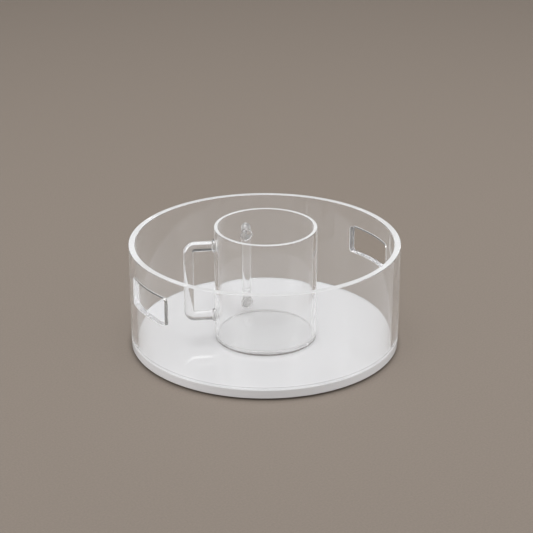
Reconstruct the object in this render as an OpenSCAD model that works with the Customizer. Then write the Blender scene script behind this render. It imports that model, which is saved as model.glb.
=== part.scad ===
// Round clear tray for a dresser top, with a loose clear mug standing in it.
// A white disc carries a clear tube with two hand holes; the mug has two bent rod handles.
// Millimetres. The table is at z = 0, +Z is up, and X runs through the two hand holes.

/* [Tray] */
// Outside diameter of the tray
tray_d = 222; // [180:1:300]
// Height of the clear wall above its joint
wall_h = 79.4; // [60:0.1:110]
// Thickness of the clear wall
wall_t = 5.2; // [3:0.1:8]
// Thickness of the white disc
base_t = 7.6; // [5:0.1:12]
// Bevel on the disc's two outer edges
base_bevel = 0.8; // [0.3:0.1:1.5]
// Bevel on the polished rims
rim_bevel = 0.6; // [0.2:0.1:1]
// Thickness of the cement line under a clear tube
cement_t = 0.3; // [0.2:0.05:0.5]

/* [Hand holes] */
// Width of a hand hole, straight across
hole_w = 52.4; // [40:0.1:80]
// Height of a hand hole
hole_h = 23; // [16:0.1:30]
// Corner radius of a hand hole
hole_r = 2.5; // [1:0.1:6]
// Distance from the rim down to the hole's upper edge
hole_drop = 17.5; // [12:0.5:25]

/* [Feet] */
// Diameter of a foot
foot_d = 12; // [8:0.5:20]
// Height of a foot
foot_h = 1.4; // [1:0.1:4]
// Distance from the disc's edge to a foot's centre
foot_inset = 17; // [12:0.5:30]

/* [Mug] */
// Outside diameter of the mug
cup_d = 83.6; // [60:0.1:100]
// Height of the mug
cup_h = 95.6; // [75:0.1:115]
// Thickness of the mug's wall
cup_t = 3; // [2:0.1:4]
// Thickness of the mug's floor disc
floor_t = 4; // [3:0.1:8]
// Air gap under the standing mug
cup_gap = 0.3; // [0.3:0.05:0.6]
// Mug's axis from the tray's axis, along X
cup_x = -4.2; // [-12:0.1:12]
// Mug's axis from the tray's axis, along Y
cup_y = -8.4; // [-12:0.1:12]

/* [Handles] */
// Diameter of the handle rod
rod_d = 8.2; // [6:0.1:10]
// From the mug's outer wall to the centre of the upright
reach = 21.2; // [18:0.1:28]
// Centre line radius of a handle's bends
bend_r = 5; // [4.8:0.1:8]
// Diameter of the collar where a leg meets the mug
collar_d = 10.6; // [10.2:0.1:14]
// Length of a collar
collar_len = 2.2; // [1.5:0.1:4]
// Cement film between a collar and its leg
film = 0.05; // [0.02:0.01:0.1]
// Direction of the side handle, counted from +X
side_angle = 156; // [130:1:180]
// Centre of the side handle's upper leg, below the mug's rim
side_drop = 14.8; // [12:0.1:24]
// Centre of its lower leg, above the mug's underside
side_rise = 20.3; // [11.5:0.1:24]
// Direction of the back handle's legs, counted from +X
back_angle = 61; // [40:0.5:100]
// From the mug's axis to the plane of the back handle, which is set off the radius
back_offset = 14.9; // [0:0.1:18]
// Centre of the back handle's upper leg, below the mug's rim
back_drop = 22.7; // [12:0.1:28]
// Centre of its lower leg, above the mug's underside
back_rise = 12; // [11.5:0.1:24]

/* [Hidden] */
$fn = 96;
cut = 1;
tray_r = tray_d / 2;
base_z = foot_h;
base_top = base_z + base_t;
wall_z = base_top + cement_t;
rim_z = wall_z + wall_h;
hole_z = rim_z - hole_drop - hole_h / 2;
foot_ring_r = tray_r - foot_inset;
cup_r = cup_d / 2;
cup_z = base_top + cup_gap;
cup_joint_z = cup_z + floor_t;
cup_wall_z = cup_joint_z + cement_t;
cup_rim_z = cup_z + cup_h;
rod_r = rod_d / 2;
side_top_z = cup_rim_z - side_drop;
side_low_z = cup_z + side_rise;
back_top_z = cup_rim_z - back_drop;
back_low_z = cup_z + back_rise;

// Tube from z0 to z1 with a bevel on both edges of its rim
module bevelled_tube(r_out, t, z0, z1, bevel) {
    r_in = r_out - t;
    rotate_extrude()
        polygon([[r_in, z0], [r_out, z0], [r_out, z1 - bevel], [r_out - bevel, z1],
                 [r_in + bevel, z1], [r_in, z1 - bevel]]);
}

// Flat ring of cement between two glued faces
module cement_ring(r_out, t, z0) {
    translate([0, 0, z0])
        difference() {
            cylinder(r = r_out, h = cement_t);
            translate([0, 0, -cut]) cylinder(r = r_out - t, h = cement_t + 2 * cut);
        }
}

// Rounded rectangle of a hand hole
module hole_outline() {
    square([hole_w - 2 * hole_r, hole_h], center = true);
    square([hole_w, hole_h - 2 * hole_r], center = true);
    for (sx = [-1, 1], sy = [-1, 1])
        translate([sx * (hole_w / 2 - hole_r), sy * (hole_h / 2 - hole_r)]) circle(r = hole_r);
}

// White disc that everything stands on
module base_disc() {
    color("white")
        rotate_extrude()
            polygon([[0, base_z], [tray_r - base_bevel, base_z], [tray_r, base_z + base_bevel],
                     [tray_r, base_top - base_bevel], [tray_r - base_bevel, base_top],
                     [0, base_top]]);
}

// Cement line between the white disc and the clear wall
module wall_cement() {
    color("silver")
        cement_ring(tray_r - base_bevel, wall_t - base_bevel, base_top);
}

// Clear wall with its pair of hand holes
module tray_wall() {
    color("lightblue", 0.4)
        difference() {
            bevelled_tube(tray_r, wall_t, wall_z, rim_z, rim_bevel);
            translate([0, 0, hole_z])
                rotate([90, 0, 90])
                    linear_extrude(height = tray_d + 2 * cut, center = true) hole_outline();
        }
}

// Small round pad under the disc, at an angle from +X
module foot(angle) {
    bevel = foot_h / 4;
    color("gainsboro")
        rotate([0, 0, angle])
            translate([foot_ring_r, 0, 0])
                rotate_extrude()
                    polygon([[0, 0], [foot_d / 2 - bevel, 0], [foot_d / 2, bevel],
                             [foot_d / 2, foot_h], [0, foot_h]]);
}

module foot_east() { foot(0); }
module foot_north() { foot(90); }
module foot_west() { foot(180); }
module foot_south() { foot(270); }

// Puts its children on the mug's axis
module at_cup() {
    translate([cup_x, cup_y, 0]) children();
}

// Clear floor disc of the mug
module cup_floor() {
    color("powderblue", 0.5)
        at_cup()
            rotate_extrude()
                polygon([[0, cup_z], [cup_r - rim_bevel, cup_z], [cup_r, cup_z + rim_bevel],
                         [cup_r, cup_joint_z], [0, cup_joint_z]]);
}

// Cement line between the mug's floor and wall
module cup_cement() {
    color("silver")
        at_cup() cement_ring(cup_r, cup_t, cup_joint_z);
}

// Clear wall of the mug
module cup_wall() {
    color("lightcyan", 0.4)
        at_cup() bevelled_tube(cup_r, cup_t, cup_wall_z, cup_rim_z, rim_bevel);
}

// Distance along X at which a line at y meets the mug's outer wall
function wall_at(y) = sqrt(cup_r * cup_r - y * y);

// Leg of a handle, along X at height z, from inside the mug to its bend
module leg(z, end) {
    translate([cup_r / 2, 0, z])
        rotate([0, 90, 0]) cylinder(r = rod_r, h = end - cup_r / 2);
}

// Quarter bend from a leg at height z; turn is 1 for the lower bend and -1 for the upper one
module bend(z, end, turn) {
    translate([end, 0, z + turn * bend_r])
        rotate([90, 0, 0])
            rotate_extrude(angle = 90, start = turn > 0 ? 270 : 0)
                translate([bend_r, 0]) circle(r = rod_r);
}

// Rod bent twice and shaped to the mug's wall at both ends; offset is to the left of its legs
module rod_handle(angle, offset, low_z, top_z) {
    upright = wall_at(offset) + reach;
    end = upright - bend_r;
    at_cup()
        rotate([0, 0, angle])
            difference() {
                translate([0, offset, 0])
                    union() {
                        leg(top_z, end);
                        bend(top_z, end, -1);
                        translate([upright, 0, low_z + bend_r])
                            cylinder(r = rod_r, h = top_z - low_z - 2 * bend_r);
                        bend(low_z, end, 1);
                        leg(low_z, end);
                    }
                translate([0, 0, low_z - rod_d])
                    cylinder(r = cup_r, h = top_z - low_z + 2 * rod_d);
            }
}

// Collar of clear cement round a leg, shaped to the mug's wall
module collar(angle, offset, z) {
    collar_r = collar_d / 2;
    near_side = wall_at(max(0, offset - collar_r));
    length = near_side + collar_len - cup_r / 2;
    at_cup()
        rotate([0, 0, angle])
            difference() {
                translate([0, offset, z])
                    difference() {
                        translate([cup_r / 2, 0, 0])
                            rotate([0, 90, 0]) cylinder(r = collar_r, h = length);
                        rotate([0, 90, 0]) cylinder(r = rod_r + film, h = 2 * cup_r);
                    }
                translate([0, 0, z - collar_d]) cylinder(r = cup_r, h = 2 * collar_d);
            }
}

module side_handle() {
    color("skyblue", 0.6) rod_handle(side_angle, 0, side_low_z, side_top_z);
}

module side_top_collar() {
    color("steelblue") collar(side_angle, 0, side_top_z);
}

module side_low_collar() {
    color("steelblue") collar(side_angle, 0, side_low_z);
}

module back_handle() {
    color("deepskyblue", 0.6) rod_handle(back_angle, back_offset, back_low_z, back_top_z);
}

module back_top_collar() {
    color("steelblue") collar(back_angle, back_offset, back_top_z);
}

module back_low_collar() {
    color("steelblue") collar(back_angle, back_offset, back_low_z);
}

base_disc();
wall_cement();
tray_wall();
foot_east();
foot_north();
foot_west();
foot_south();
cup_floor();
cup_cement();
cup_wall();
side_handle();
side_top_collar();
side_low_collar();
back_handle();
back_top_collar();
back_low_collar();
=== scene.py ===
"""Looks for the clear round tray with a loose clear mug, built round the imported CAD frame.

Every length is in metres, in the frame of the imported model: the table is at z = 0 and X runs through the
two hand holes.
"""
import math

import bpy
import numpy as np
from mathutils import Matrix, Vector


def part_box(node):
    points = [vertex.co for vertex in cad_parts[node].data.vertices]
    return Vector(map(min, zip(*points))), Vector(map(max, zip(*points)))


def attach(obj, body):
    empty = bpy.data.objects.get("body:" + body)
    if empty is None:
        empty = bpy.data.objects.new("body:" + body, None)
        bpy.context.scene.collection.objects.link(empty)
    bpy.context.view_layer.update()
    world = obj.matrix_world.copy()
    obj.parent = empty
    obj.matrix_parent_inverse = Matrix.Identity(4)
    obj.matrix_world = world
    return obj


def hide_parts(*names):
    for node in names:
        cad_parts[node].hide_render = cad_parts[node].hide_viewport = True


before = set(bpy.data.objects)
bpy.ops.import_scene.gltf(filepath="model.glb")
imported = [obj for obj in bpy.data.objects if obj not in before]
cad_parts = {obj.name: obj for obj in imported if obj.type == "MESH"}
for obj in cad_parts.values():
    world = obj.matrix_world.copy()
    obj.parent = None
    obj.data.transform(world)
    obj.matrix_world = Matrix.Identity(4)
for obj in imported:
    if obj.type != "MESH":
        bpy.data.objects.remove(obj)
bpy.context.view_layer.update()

# ------------------------------------------------------------- sizes
MM = 0.001


def round_node(node):
    """Axis, outside radius, lowest and highest z of a round CAD node."""
    lo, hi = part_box(node)
    return np.array(((lo.x + hi.x) / 2, (lo.y + hi.y) / 2)), (hi.x - lo.x) / 2, lo.z, hi.z


TRAY_AXIS, TRAY_R, DISC_Z, DISC_TOP = round_node("base_disc")
_, WALL_R, WALL_Z, RIM_Z = round_node("tray_wall")
_, _, CEMENT_Z, _ = round_node("wall_cement")
CUP_AXIS, CUP_R, CUP_Z, CUP_FLOOR_Z = round_node("cup_floor")
_, _, _, CUP_RIM_Z = round_node("cup_wall")
_, _, CUP_CEMENT_Z, CUP_CEMENT_TOP = round_node("cup_cement")

# sizes that a node's box doesn't give, as in the CAD
WALL_T = 5.2 * MM  # tray wall
CUP_T = 3 * MM  # mug wall
ROD_R = 4.1 * MM  # handle rod
BEND_R = 5 * MM  # its bends, on the centre line
REACH = 21.2 * MM  # mug wall to the centre of the upright
FILM = 0.05 * MM  # cement film round a leg
COLLAR_LEN = 2.2 * MM
HOLE_W = 52.4 * MM  # hand hole, straight across
HOLE_H = 23 * MM
HOLE_R = 2.5 * MM
HOLE_DROP = 17.5 * MM  # rim to the hole's upper edge
HANDLES = {  # direction of the legs from +X, and the handle's plane from the mug's axis
    "side": (156, 0),
    "back": (61, 14.9 * MM),
}

HOLE_Z = RIM_Z - HOLE_DROP - HOLE_H / 2
EDGE = 0.5 * MM  # rounding of a polished edge
DISC_ROUND = 0.8 * MM  # rounding of the white disc's edges
CUP_ROUND = 0.6 * MM  # rounding under the mug
CUP_FILLET = 0.4 * MM  # where the mug's wall meets its floor
CUP_LINE = 1.8 * MM  # the mug's lowest edge, painted dark as a stand-in for the contact shade where it nearly touches the disc
PAD_ROUND = 0.6 * MM  # rounding of a pad where it meets the table
PAD_TOP_ROUND = 0.15 * MM
SINK = 0.02 * MM  # glued clear acrylic reaches this far into the white disc, so no air shows in the joint

# faces along the straights of a hand hole and round each of its corners
HOLE_ALONG, HOLE_UP, HOLE_CORNER = 24, 8, 8
HOLE_MARGIN = 6 * MM  # width of the frame of faces round a hole


# ------------------------------------------------------------- mesh helpers
def skin(name, grids):
    """A closed mesh from grids of points with their exact normals.

    A grid is (points, normals), both of shape (rows, columns, 3). Points that meet are merged, so grids
    join without a seam, and every face turns to the side its normals point to."""
    index, verts, faces, corner_normals = {}, [], [], []
    for points, normals in grids:
        ids = np.empty(points.shape[:2], int)
        for i, j in np.ndindex(ids.shape):
            key = tuple(np.round(points[i, j] * 1e7).astype(int))
            if key not in index:
                index[key] = len(verts)
                verts.append(tuple(points[i, j]))
            ids[i, j] = index[key]
        for i in range(ids.shape[0] - 1):
            for j in range(ids.shape[1] - 1):
                ring = [(i, j), (i, j + 1), (i + 1, j + 1), (i + 1, j)]
                ring = [c for k, c in enumerate(ring) if ids[c] != ids[ring[k - 1]]]
                if len(ring) < 3:
                    continue
                p = np.array([verts[ids[c]] for c in ring])
                n = np.array([normals[c] for c in ring])
                turn = sum(np.cross(p[k - 1] - p[0], p[k] - p[0]) for k in range(1, len(ring)))
                if np.dot(turn, n.sum(0)) < 0:
                    ring.reverse()
                faces.append([int(ids[c]) for c in ring])
                corner_normals += [normals[c] for c in ring]
    mesh = bpy.data.meshes.new(name)
    mesh.from_pydata(verts, [], faces)
    mesh.update()
    for face in mesh.polygons:
        face.use_smooth = True
    mesh.normals_split_custom_set([tuple(n) for n in corner_normals])
    obj = bpy.data.objects.new(name, mesh)
    bpy.context.scene.collection.objects.link(obj)
    return obj


def outline(corners, steps=5):
    """Closed outline in (r, z) from corners (r, z, rounding), walked with the solid on its left.

    Returns its points and outward normals. A corner without rounding is a sharp one."""
    points, normals = [], []
    for i, (r, z, rounding) in enumerate(corners):
        here = np.array((r, z))
        back = np.array(corners[i - 1][:2]) - here
        ahead = np.array(corners[(i + 1) % len(corners)][:2]) - here
        back, ahead = back / np.linalg.norm(back), ahead / np.linalg.norm(ahead)
        n_in, n_out = np.array((-back[1], back[0])), np.array((ahead[1], -ahead[0]))
        if rounding == 0:
            points += [here, here]
            normals += [n_in, n_out]
            continue
        turn = math.acos(np.clip(np.dot(n_in, n_out), -1, 1))
        side = 1 if n_in[0] * n_out[1] > n_in[1] * n_out[0] else -1
        centre = here + back * rounding * math.tan(turn / 2) - side * n_in * rounding
        for t in np.linspace(0, 1, steps + 1):
            n = (n_in * math.sin((1 - t) * turn) + n_out * math.sin(t * turn)) / math.sin(turn)
            points.append(centre + side * n * rounding)
            normals.append(n)
    points.append(points[0])
    normals.append(normals[0])
    return np.array(points), np.array(normals)


def spin(points, normals, axis, around):
    """Grid of an outline in (r, z) turned once about a vertical axis."""
    a = np.linspace(0, 2 * math.pi, around + 1)[None, :]
    c, s = np.cos(a), np.sin(a)
    r, z = points[:, :1], points[:, 1:]
    nr, nz = normals[:, :1], normals[:, 1:]
    flat = np.ones_like(a)
    grid = np.stack((axis[0] + r * c, axis[1] + r * s, z * flat), axis=2)
    return grid, np.stack((nr * c, nr * s, nz * flat), axis=2)


def lathe(name, corners, axis=(0, 0), around=192, steps=5):
    """Round solid from the corners of its half section."""
    return skin(name, [spin(*outline(corners, steps), axis, around)])


# ------------------------------------------------------------- tray wall
def edge_round(steps=4):
    """Walk over the edge of a sheet: (distance in from the edge, depth below the outer face, outward
    share of the normal, share of the normal that points off the edge)."""
    arc = np.linspace(0, math.pi / 2, steps + 1)
    over = [(EDGE * (1 - math.sin(f)), EDGE * (1 - math.cos(f)), math.cos(f), math.sin(f)) for f in arc]
    return over + [(d, WALL_T - w, -n, e) for d, w, n, e in reversed(over)]


def on_wall(depth, y, z, side):
    """Point on the wall at a depth below its outer face, beside the hand hole at +X or -X."""
    x = side * np.sqrt((WALL_R - depth) ** 2 - y**2)
    return np.stack((x, y, z), axis=-1)


def radial(points):
    """Unit vectors from the tray's axis to the points."""
    flat = points * (1, 1, 0)
    return flat / np.linalg.norm(flat, axis=-1, keepdims=True)


def hole_loop():
    """Points and outward normals of a hand hole's rim in (y, z)."""
    w, h = HOLE_W / 2 - HOLE_R, HOLE_H / 2 - HOLE_R
    points, normals = [], []
    for k, (cy, cz) in enumerate(((1, -1), (1, 1), (-1, 1), (-1, -1))):
        for t in np.linspace(0, 1, HOLE_CORNER + 1):
            a = math.pi / 2 * (k - 1 + t)
            n = np.array((math.cos(a), math.sin(a)))
            points.append(np.array((cy * w, cz * h)) + n * HOLE_R)
            normals.append(n)
        count = HOLE_UP if k % 2 == 0 else HOLE_ALONG
        next_y, next_z = ((1, 1), (-1, 1), (-1, -1), (1, -1))[k]
        start, end = points[-1], np.array((next_y * w, next_z * h)) + normals[-1] * HOLE_R
        for t in np.linspace(0, 1, count + 1)[1:-1]:
            points.append(start + (end - start) * t)
            normals.append(normals[-1])
    return np.array(points), np.array(normals)


def frame_loop(half_w, half_h):
    """Points on a rectangle round the hole, one for each point of the hole's rim."""
    sides = ((1, -1, 1, 1), (1, 1, -1, 1), (-1, 1, -1, -1), (-1, -1, 1, -1))
    points = []
    for k, (y0, z0, y1, z1) in enumerate(sides):
        n = (HOLE_UP if k % 2 == 0 else HOLE_ALONG) + HOLE_CORNER
        for t in np.arange(n) / n:
            points.append((half_w * (y0 + (y1 - y0) * t), half_h * (z0 + (z1 - z0) * t)))
    return np.roll(np.array(points), HOLE_CORNER // 2, axis=0)


def tray_wall():
    """Clear tube with rounded edges all round and two hand holes, as one closed mesh."""
    walk = edge_round()
    half_w, half_h = HOLE_W / 2 + HOLE_MARGIN, HOLE_H / 2 + HOLE_MARGIN
    rim, rim_n = hole_loop()
    rect = frame_loop(half_w, half_h)
    foot = CEMENT_Z - SINK
    low, high = foot + EDGE, RIM_Z - EDGE
    across = np.linspace(-half_w, half_w, HOLE_ALONG + HOLE_CORNER + 1)
    upright = np.linspace(-half_h, half_h, HOLE_UP + HOLE_CORNER + 1)
    grids = []

    def closed(a):
        return np.concatenate((a, a[:1]))

    def columns(depth, side):
        """Columns of wall beside one hand hole and on to the next, in (x, y)."""
        beside = on_wall(depth, across, np.zeros_like(across), side)[:, :2]
        start = math.asin(half_w / (WALL_R - depth))
        a = np.linspace(start, math.pi - start, 97)
        arc = np.stack((np.cos(a), np.sin(a)), axis=1) * (WALL_R - depth)
        return beside, arc * side

    for side in (1, -1):
        for depth, out in ((0, 1), (WALL_T, -1)):
            beside, arc = columns(depth, side)
            levels = ((low, HOLE_Z - half_h), (HOLE_Z + half_h, high))
            for z0, z1 in levels:
                p = np.array([[(x, y, z) for x, y in beside] for z in (z0, z1)])
                grids.append((p, radial(p) * out))
            rows = [low, *(HOLE_Z + upright), high]
            p = np.array([[(x, y, z) for x, y in arc] for z in rows])
            grids.append((p, radial(p) * out))
            start = rim + rim_n * EDGE
            rings = [closed(start + (rect - start) * t) for t in np.linspace(0, 1, 4)]
            p = np.array([on_wall(depth, g[:, 0], HOLE_Z + g[:, 1], side) for g in rings])
            grids.append((p, radial(p) * out))
        # the cut round the hole
        rows_p, rows_n = [], []
        for d, w, n_out, n_edge in walk:
            g = closed(rim + rim_n * d)
            p = on_wall(w, g[:, 0], HOLE_Z + g[:, 1], side)
            off = np.zeros_like(p)
            off[:, 1:] = -closed(rim_n)
            rows_p.append(p)
            rows_n.append(radial(p) * n_out + off * n_edge)
        grids.append((np.array(rows_p), np.array(rows_n)))
        # the rim above and the joint face below
        for edge_z, up in ((RIM_Z, 1), (foot, -1)):
            for part in (0, 1):
                rows_p, rows_n = [], []
                for d, w, n_out, n_edge in walk:
                    xy = columns(w, side)[part]
                    p = np.column_stack((xy, np.full(len(xy), edge_z - up * d)))
                    rows_p.append(p)
                    rows_n.append(radial(p) * n_out + np.array((0, 0, up)) * n_edge)
                grids.append((np.array(rows_p), np.array(rows_n)))
    return skin("tray_wall_clear", grids)


# ------------------------------------------------------------- handles
def turned(points, degrees):
    """Points or normals turned about +Z."""
    c, s = math.cos(math.radians(degrees)), math.sin(math.radians(degrees))
    return points @ np.array(((c, s, 0), (-s, c, 0), (0, 0, 1)))


def on_cup(points, degrees):
    """Points from a handle's own directions to the mug's place."""
    return turned(points, degrees) + np.array((CUP_AXIS[0], CUP_AXIS[1], 0))


def wall_at(y, film=FILM):
    """Distance along X at which a line at y meets the mug's wall."""
    return np.sqrt((CUP_R + film) ** 2 - y**2)


def handle(name, degrees, offset, low_z, high_z, around=48):
    """Rod bent twice, with both ends shaped to the mug's wall."""
    a = np.linspace(0, 2 * math.pi, around + 1)
    across, up = np.cos(a), np.sin(a)  # +Y and away from the bend's centre
    rows_p, rows_n = [], []

    def section(x, z, out):
        """One ring of the rod about a point of its centre line."""
        n = np.outer(up, out) + np.outer(across, (0, 1, 0))
        rows_p.append(np.array((x, offset, z)) + n * ROD_R)
        rows_n.append(n)

    leg_end = float(wall_at(offset, 0)) + REACH - BEND_R
    quarter = np.linspace(0, math.pi / 2, 13)
    section(0, high_z, (0, 0, 1))
    for f in quarter:
        out = np.array((math.sin(f), 0, math.cos(f)))
        section(leg_end + out[0] * BEND_R, high_z - BEND_R + out[2] * BEND_R, out)
    for f in quarter:
        out = np.array((math.cos(f), 0, -math.sin(f)))
        section(leg_end + out[0] * BEND_R, low_z + BEND_R + out[2] * BEND_R, out)
    section(0, low_z, (0, 0, -1))
    for row in (rows_p[0], rows_p[-1]):
        row[:, 0] = wall_at(row[:, 1])
    grids = [(np.array(rows_p), np.array(rows_n))]
    for row, z in ((rows_p[0], high_z), (rows_p[-1], low_z)):
        middle = np.array((0, offset, z))
        rings = []
        for t in (1, 0.97, 0.75, 0.5, 0.25, 0):
            ring = middle + (row - middle) * t
            ring[:, 0] = wall_at(ring[:, 1])
            rings.append(ring)
        cap = np.array(rings)
        grids.append((cap, -radial(cap)))
    return skin(name, [(on_cup(p, degrees), turned(n, degrees)) for p, n in grids])


def collar(name, node, degrees, offset, z, around=48, steps=8):
    """Bead of cement round a leg: full at the wall, run out in a smooth curve along the rod."""
    lo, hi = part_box(node)
    outer, inner = (hi.z - lo.z) / 2, ROD_R + FILM
    a = np.linspace(0, 2 * math.pi, around + 1)
    ring = np.stack((np.cos(a), np.sin(a)), axis=1)
    far = float(wall_at(max(0, offset - outer), 0)) + COLLAR_LEN
    # section of the bead in (share of the way along, radius) with its normal, from the wall and back
    full = 0.35  # share of the bead's length that keeps its full radius
    section = [(0.0, inner, 0, -1), (0.0, outer, -1, 0), (0.0, outer, 0, 1), (full, outer, 0, 1)]
    for f in np.linspace(0, math.pi / 2, steps + 1):
        s, c = math.sin(f), math.cos(f)
        section.append((full + (1 - full) * s, inner + (outer - inner) * c, s, c))
    section += [(1.0, inner, 0, -1), (0.0, inner, 0, -1)]
    rows_p, rows_n = [], []
    for along, r, n_along, n_out in section:
        y, up = offset + ring[:, 0] * r, z + ring[:, 1] * r
        start = wall_at(y)
        rows_p.append(np.stack((start + (far - start) * along, y, up), axis=1))
        rows_n.append(np.column_stack((np.full(len(a), n_along), ring * n_out)))
    return skin(name, [(on_cup(np.array(rows_p), degrees), turned(np.array(rows_n), degrees))])


# ------------------------------------------------------------- materials
ACRYLIC_IOR = 1.49


def new_material(name):
    m = bpy.data.materials.new(name)
    m.use_nodes = True
    m.node_tree.nodes.clear()
    return m, m.node_tree


def clear_acrylic(
    name,
    tint,
    haze=0.0,
    glow=0.0,
    glow_width=0.25,
    ior=ACRYLIC_IOR,
    shade=0.99,
    roughness=0.0,
    waviness=0.0,
    wave_scale=(36, 36, 4.8),
):
    """Clear polished acrylic. Lamps and soft light pass straight through it, as through thin clear sheet.

    Haze is the share of plain white in it, glow lights up what is seen edge on, and shade is the share of
    light that each of its surfaces lets through to the things behind. Waviness is the strength of its
    polishing marks, and wave_scale is how many there are to the metre along each axis."""
    m, nt = new_material(name)
    out = nt.nodes.new("ShaderNodeOutputMaterial")
    glass = nt.nodes.new("ShaderNodeBsdfPrincipled")
    glass.inputs["Base Color"].default_value = (*tint, 1)
    glass.inputs["Transmission Weight"].default_value = 1 - haze
    glass.inputs["IOR"].default_value = ior
    glass.inputs["Sheen Weight"].default_value = glow
    glass.inputs["Sheen Roughness"].default_value = glow_width
    glass.inputs["Roughness"].default_value = roughness
    through = nt.nodes.new("ShaderNodeBsdfTransparent")
    through.inputs["Color"].default_value = (shade, shade, shade, 1)
    path = nt.nodes.new("ShaderNodeLightPath")
    soft = nt.nodes.new("ShaderNodeMixShader")
    lamp = nt.nodes.new("ShaderNodeMixShader")
    nt.links.new(path.outputs["Is Diffuse Ray"], soft.inputs[0])
    nt.links.new(glass.outputs[0], soft.inputs[1])
    nt.links.new(through.outputs[0], soft.inputs[2])
    nt.links.new(path.outputs["Is Shadow Ray"], lamp.inputs[0])
    nt.links.new(soft.outputs[0], lamp.inputs[1])
    nt.links.new(through.outputs[0], lamp.inputs[2])
    nt.links.new(lamp.outputs[0], out.inputs["Surface"])
    place = nt.nodes.new("ShaderNodeTexCoord")
    stretch = nt.nodes.new("ShaderNodeMapping")
    stretch.inputs["Scale"].default_value = wave_scale
    noise = nt.nodes.new("ShaderNodeTexNoise")
    noise.inputs["Scale"].default_value = 1
    noise.inputs["Detail"].default_value = 1
    bump = nt.nodes.new("ShaderNodeBump")
    bump.inputs["Strength"].default_value = waviness
    bump.inputs["Distance"].default_value = 0.001
    nt.links.new(place.outputs["Object"], stretch.inputs["Vector"])
    nt.links.new(stretch.outputs[0], noise.inputs["Vector"])
    nt.links.new(noise.outputs["Fac"], bump.inputs["Height"])
    nt.links.new(bump.outputs[0], glass.inputs["Normal"])
    return m


def plain_gloss(name, colour, dark, roughness, scale=40, detail=4, bump=0.0):
    """Opaque plastic with a faint cloudiness in its colour and its polish."""
    m, nt = new_material(name)
    out = nt.nodes.new("ShaderNodeOutputMaterial")
    body = nt.nodes.new("ShaderNodeBsdfPrincipled")
    place = nt.nodes.new("ShaderNodeTexCoord")
    noise = nt.nodes.new("ShaderNodeTexNoise")
    noise.inputs["Scale"].default_value = scale
    noise.inputs["Detail"].default_value = detail
    nt.links.new(place.outputs["Object"], noise.inputs["Vector"])
    ramp = nt.nodes.new("ShaderNodeMix")
    ramp.data_type = "RGBA"
    ramp.inputs[6].default_value = (*dark, 1)
    ramp.inputs[7].default_value = (*colour, 1)
    nt.links.new(noise.outputs["Fac"], ramp.inputs[0])
    nt.links.new(ramp.outputs[2], body.inputs["Base Color"])
    polish = nt.nodes.new("ShaderNodeMapRange")
    polish.inputs["To Min"].default_value = roughness[0]
    polish.inputs["To Max"].default_value = roughness[1]
    nt.links.new(noise.outputs["Fac"], polish.inputs["Value"])
    nt.links.new(polish.outputs[0], body.inputs["Roughness"])
    body.inputs["IOR"].default_value = ACRYLIC_IOR
    if bump:
        relief = nt.nodes.new("ShaderNodeBump")
        relief.inputs["Strength"].default_value = bump
        relief.inputs["Distance"].default_value = 0.0005
        nt.links.new(noise.outputs["Fac"], relief.inputs["Height"])
        nt.links.new(relief.outputs[0], body.inputs["Normal"])
    nt.links.new(body.outputs[0], out.inputs["Surface"])
    return m


CLEAR = (0.99, 0.99, 0.99)
SAWN = (500, 500, 60)  # saw marks along an edge, close together across it
BEADED = (260, 260, 260)  # drops and wrinkles of cured cement
wall_clear = clear_acrylic("tray_wall_acrylic", CLEAR, haze=0.06, glow=0.3, ior=1.36, waviness=0.02)
mug_clear = clear_acrylic("mug_acrylic", (1, 1, 1), haze=0.025, glow=0.9, ior=1.4, waviness=0.015)
rod_clear = clear_acrylic(
    "rod_acrylic", CLEAR, haze=0.01, glow=1.0, glow_width=0.5, ior=1.55, shade=0.62, waviness=0.01
)
bead_clear = clear_acrylic(
    "cement_bead", CLEAR, glow=0.3, ior=1.6, shade=0.62, waviness=0.6, wave_scale=BEADED
)
# painted glow: the mostly white haze on rims and rounded cut edges stands in for the light piped up the
# clear wall from the white disc and for their highlights; the saw marks in its bump are real
rim_painted_glow = clear_acrylic(
    "rim_painted_glow", (0.98, 0.98, 0.985), haze=0.72, roughness=0.15, waviness=0.3, wave_scale=SAWN
)
cut_edge = clear_acrylic(
    "cut_edge", (0.8, 0.8, 0.805), haze=0.08, roughness=0.05, waviness=0.05, wave_scale=SAWN
)
floor_edge = clear_acrylic("mug_floor_edge", (0.97, 0.97, 0.975), haze=0.28, roughness=0.05, waviness=0.02)
# painted shade: dark brown on the mug's lowest edge stands in for the contact shadow where it nearly
# touches the disc; its low shade value also lets it cast a real thin shadow
mug_foot_painted_shade = clear_acrylic(
    "mug_foot_painted_shade", (0.26, 0.245, 0.235), haze=0.5, shade=0.4, roughness=0.1, waviness=0.02
)
joint_line = clear_acrylic("joint_line", (0.8, 0.8, 0.8), haze=0.6, roughness=0.2, waviness=0.02)
white = plain_gloss("white_acrylic", (0.82, 0.82, 0.835), (0.80, 0.80, 0.815), (0.02, 0.05))
pad_mat = plain_gloss(
    "pad_rubber", (0.42, 0.42, 0.41), (0.36, 0.36, 0.355), (0.4, 0.55), scale=500, bump=0.3
)


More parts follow.
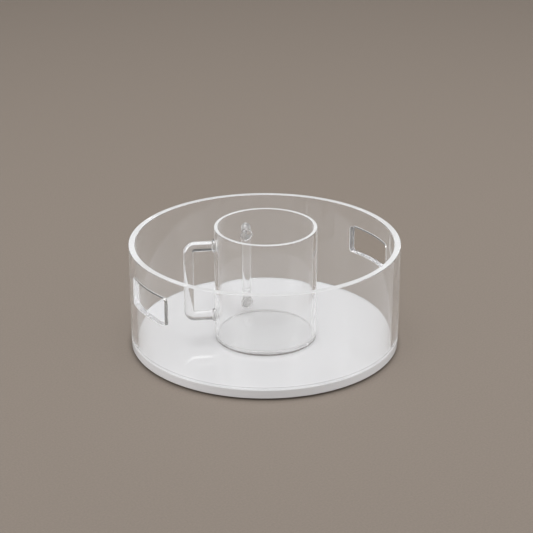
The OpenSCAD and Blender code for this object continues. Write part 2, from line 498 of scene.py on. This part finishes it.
def whiten_edges(obj, axis, above, rim_z):
    """Gives the sawn edges of a clear tube, its rim and the cuts through its wall, their own finish; the
    white on the rim and on the rounded edges of the cuts is painted glow.

    Slope is how far a face looks out from the tube's axis: 1 on its wall and 0 on a flat edge."""
    # the rim's white is painted glow for light piped up the wall; the flat faces of the cuts get a greyer
    # clear
    obj.data.materials.append(rim_painted_glow)
    obj.data.materials.append(cut_edge)
    for face in obj.data.polygons:
        out = np.array(face.center[:2]) - axis
        out /= np.linalg.norm(out) + 1e-9
        slope = abs(np.dot(out, face.normal[:2]))
        if face.center.z > rim_z - EDGE:
            face.material_index = 1 if slope < 0.55 else 0
        elif face.center.z > above and slope < 0.97:
            face.material_index = 2 if slope < 0.3 else 1


def finish_piece(obj, body, slot, material, *nodes):
    """Gives a piece its material, the body it moves with and the CAD nodes it stands for."""
    obj.data.materials.append(material)
    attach(obj, body)
    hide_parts(*nodes)
    return obj


# ------------------------------------------------------------- the pieces
disc = lathe(
    "white_disc",
    [(0, DISC_Z, 0), (TRAY_R, DISC_Z, DISC_ROUND), (TRAY_R, DISC_TOP, DISC_ROUND), (0, DISC_TOP, 0)],
    around=288,
)
finish_piece(disc, "tray", "white_acrylic", white, "base_disc")

tube = tray_wall()
finish_piece(tube, "tray", "clear_acrylic", wall_clear, "tray_wall", "wall_cement")
whiten_edges(tube, TRAY_AXIS, WALL_Z + MM, RIM_Z)

for node in ("foot_east", "foot_north", "foot_west", "foot_south"):
    axis, r, z0, z1 = round_node(node)
    pad = lathe(
        node + "_pad",
        [(0, z0, 0), (r, z0, PAD_ROUND), (r, z1, PAD_TOP_ROUND), (0, z1, 0)],
        axis=axis,
        around=64,
    )
    finish_piece(pad, "tray", "foot_pad", pad_mat, node)

cup_in = CUP_R - CUP_T
mug = lathe(
    "mug_body",
    [
        (0, CUP_Z, 0),
        (CUP_R, CUP_Z, CUP_ROUND),
        (CUP_R, CUP_Z + CUP_LINE, 0),
        (CUP_R, CUP_FLOOR_Z, 0),
        (CUP_R, CUP_RIM_Z, EDGE),
        (cup_in, CUP_RIM_Z, EDGE),
        (cup_in, CUP_FLOOR_Z, CUP_FILLET),
        (0, CUP_FLOOR_Z, 0),
    ],
    axis=CUP_AXIS,
    around=224,
)
finish_piece(mug, "cup", "clear_cup", mug_clear, "cup_wall", "cup_floor")
whiten_edges(mug, CUP_AXIS, CUP_FLOOR_Z + 5 * MM, CUP_RIM_Z)
# the mug's lowest edge takes the painted contact shade, and the rest of its floor's edge takes a hazy
# white finish
mug.data.materials.append(mug_foot_painted_shade)
mug.data.materials.append(floor_edge)
for face in mug.data.polygons:
    if face.center.z < CUP_FLOOR_Z and abs(face.normal.z) < 0.95:
        face.material_index = 3 if face.center.z < CUP_Z + CUP_LINE else 4

# the glued joint between the mug's floor and its wall shows as a fine line inside the clear acrylic
joint_in, joint_out = cup_in + 0.1 * MM, CUP_R - 0.15 * MM
joint = lathe(
    "mug_joint_line",
    [
        (joint_in, CUP_CEMENT_Z, 0),
        (joint_out, CUP_CEMENT_Z, 0),
        (joint_out, CUP_CEMENT_TOP, 0),
        (joint_in, CUP_CEMENT_TOP, 0),
    ],
    axis=CUP_AXIS,
    around=224,
)
finish_piece(joint, "cup", "cement", joint_line, "cup_cement")

for side, (degrees, offset) in HANDLES.items():
    lo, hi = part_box(side + "_handle")
    low_z, high_z = lo.z + ROD_R, hi.z - ROD_R
    rod = handle(side + "_handle_rod", degrees, offset, low_z, high_z)
    finish_piece(rod, "cup", "clear_rod", rod_clear, side + "_handle")
    for end, z in (("top", high_z), ("low", low_z)):
        node = f"{side}_{end}_collar"
        bead = collar(node + "_bead", node, degrees, offset, z)
        finish_piece(bead, "cup", "collar_cement", bead_clear, node)

# ------------------------------------------------------------- floor, light, camera
FLOOR = 6  # from its centre to each side
floor_corners = [(x * FLOOR, y * FLOOR, 0) for x, y in ((-1, -1), (1, -1), (1, 1), (-1, 1))]
floor_mesh = bpy.data.meshes.new("floor")
floor_mesh.from_pydata(floor_corners, [], [(0, 1, 2, 3)])
floor = bpy.data.objects.new("floor", floor_mesh)
bpy.context.scene.collection.objects.link(floor)
floor.data.materials.append(
    plain_gloss("floor_paper", (0.30, 0.25, 0.209), (0.22, 0.184, 0.154), (0.7, 0.8), scale=650, detail=2)
)

VIEW_AZIMUTH = math.radians(-31.5)  # 0 looks along +Y
TO_CAMERA = Vector((math.sin(VIEW_AZIMUTH), -math.cos(VIEW_AZIMUTH), 0))
TO_RIGHT = Vector((math.cos(VIEW_AZIMUTH), math.sin(VIEW_AZIMUTH), 0))
UP = Vector((0, 0, 1))
CAM_GROUND = 1.2095  # from the tray's axis, along the table
CAM_HEIGHT = 0.5810
AIM_HEIGHT = 0.0656
AIM_RIGHT = 0.0015
LIGHT_TARGET = Vector((0, 0, 0.05))

camera_data = bpy.data.cameras.new("camera")
camera_data.lens = 108
camera_data.sensor_width = 36
camera = bpy.data.objects.new("camera", camera_data)
bpy.context.scene.collection.objects.link(camera)
camera.location = TO_CAMERA * CAM_GROUND + UP * CAM_HEIGHT
aim = TO_RIGHT * AIM_RIGHT + UP * AIM_HEIGHT
camera.rotation_euler = (aim - camera.location).to_track_quat("-Z", "Y").to_euler()
bpy.context.scene.camera = camera


def softbox(name, place, size, watts):
    """Rectangular soft light at (right, away from camera, up) from the tray, aimed at it."""
    data = bpy.data.lights.new(name, "AREA")
    data.shape = "RECTANGLE"
    data.size, data.size_y = size
    data.energy = watts
    obj = bpy.data.objects.new(name, data)
    bpy.context.scene.collection.objects.link(obj)
    obj.location = TO_RIGHT * place[0] - TO_CAMERA * place[1] + UP * place[2]
    obj.rotation_euler = (LIGHT_TARGET - obj.location).to_track_quat("-Z", "Y").to_euler()


softbox("overhead", (0.1, 0.4, 1.6), (1.6, 1.6), 15.8)
softbox("left_box", (-1.5, -0.5, 0.55), (0.9, 1.1), 9)
softbox("right_box", (1.5, -0.4, 0.6), (0.9, 1.1), 7)


def studio_world(level, front, back):
    """White studio that is brighter low down on the camera's side and dark low down behind the object."""
    world = bpy.data.worlds.new("studio")
    bpy.context.scene.world = world
    world.use_nodes = True
    nt = world.node_tree
    place = nt.nodes.new("ShaderNodeTexCoord")
    parts = nt.nodes.new("ShaderNodeSeparateXYZ")
    nt.links.new(place.outputs["Generated"], parts.inputs[0])
    along = nt.nodes.new("ShaderNodeVectorMath")
    along.operation = "DOT_PRODUCT"
    along.inputs[1].default_value = -TO_CAMERA
    nt.links.new(place.outputs["Generated"], along.inputs[0])

    def ramp(source, start, end):
        """Smooth step of a value from 0 at start to 1 at end."""
        node = nt.nodes.new("ShaderNodeMapRange")
        node.interpolation_type = "SMOOTHSTEP"
        node.inputs["From Min"].default_value = start
        node.inputs["From Max"].default_value = end
        nt.links.new(source, node.inputs["Value"])
        return node.outputs[0]

    def maths(operation, a, b):
        """Sum or product of a value and a number or another value."""
        node = nt.nodes.new("ShaderNodeMath")
        node.operation = operation
        nt.links.new(a, node.inputs[0])
        if isinstance(b, float):
            node.inputs[1].default_value = b
        else:
            nt.links.new(b, node.inputs[1])
        return node.outputs[0]

    # directions are unit vectors: Z is the height of one, and along is how far it points behind the object
    low_down = ramp(parts.outputs["Z"], 0.8, 0.55)
    behind = maths("MULTIPLY", low_down, ramp(along.outputs["Value"], 0.05, 0.45))
    before = maths("MULTIPLY", low_down, ramp(along.outputs["Value"], 0.0, -0.6))
    more = maths("MULTIPLY", before, front - level)
    less = maths("MULTIPLY", behind, back - level)
    total = maths("ADD", maths("ADD", more, less), level)
    nt.links.new(total, nt.nodes["Background"].inputs[1])
    nt.nodes["Background"].inputs[0].default_value = (1, 1, 1, 1)


studio_world(level=0.55, front=0.6, back=0.04)

scene = bpy.context.scene
scene.view_settings.view_transform = "Standard"
# light goes round inside clear acrylic many times before it leaves
for kind in ("max_bounces", "transmission_bounces", "glossy_bounces", "transparent_max_bounces"):
    setattr(scene.cycles, kind, 48)
scene.cycles.diffuse_bounces = 4
